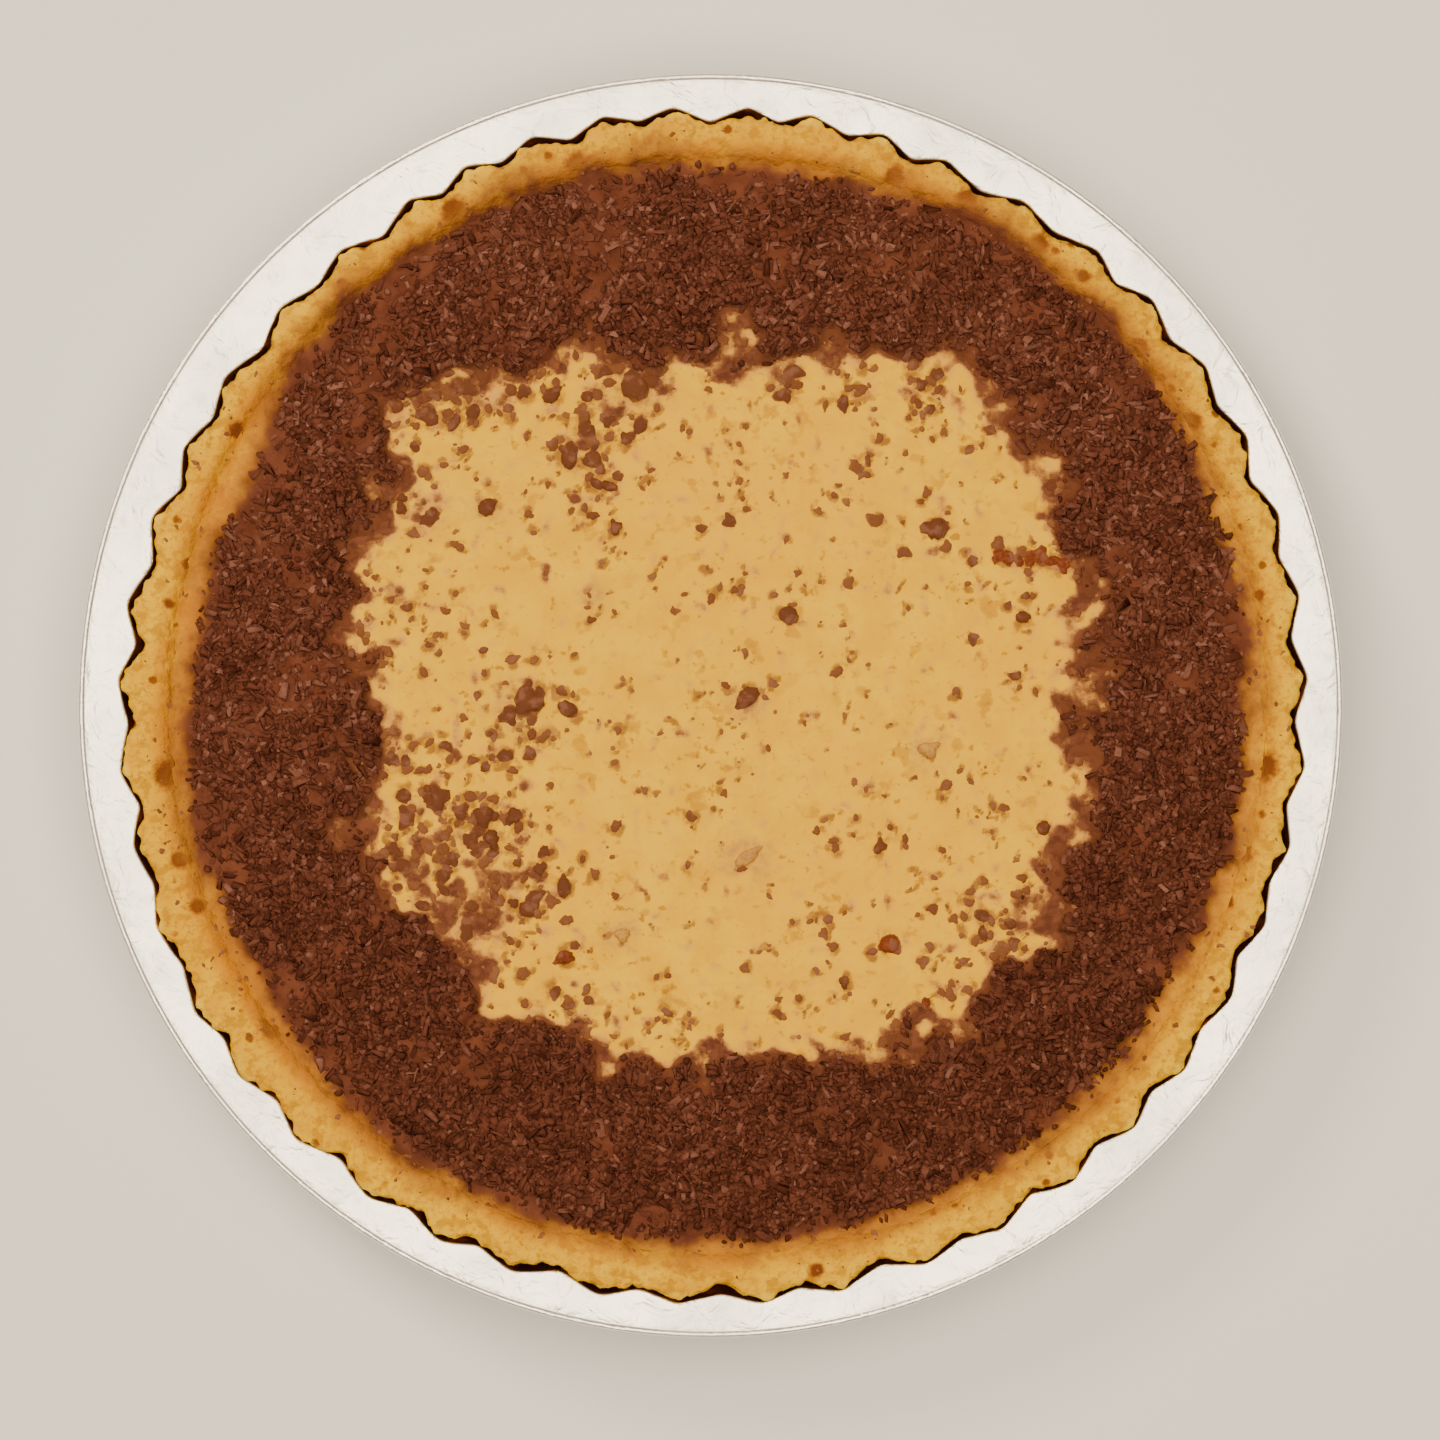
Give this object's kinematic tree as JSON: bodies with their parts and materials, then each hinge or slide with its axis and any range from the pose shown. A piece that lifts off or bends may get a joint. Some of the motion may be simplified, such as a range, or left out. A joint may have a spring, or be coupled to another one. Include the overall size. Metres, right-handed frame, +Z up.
{
  "type": "peppermint tart",
  "caption": "Round custard tart with a ring of grated mint chocolate, in a fluted shortcrust case and its shallow foil tin.",
  "frame": {"origin": "on the floor, under the middle of the tin's flange", "axes": "+Z up out of the tart; +X to the right and +Y towards the top as the tart is seen from above"},
  "size_m": [0.2528, 0.253, 0.0272],
  "materials": {
    "foil": "satin",
    "pastry": "matte",
    "custard": "satin",
    "chocolate": "matte"
  },
  "bodies": {
    "root": {"tin": "foil", "crust": "pastry", "filling": "custard"}
  },
  "joints": []
}
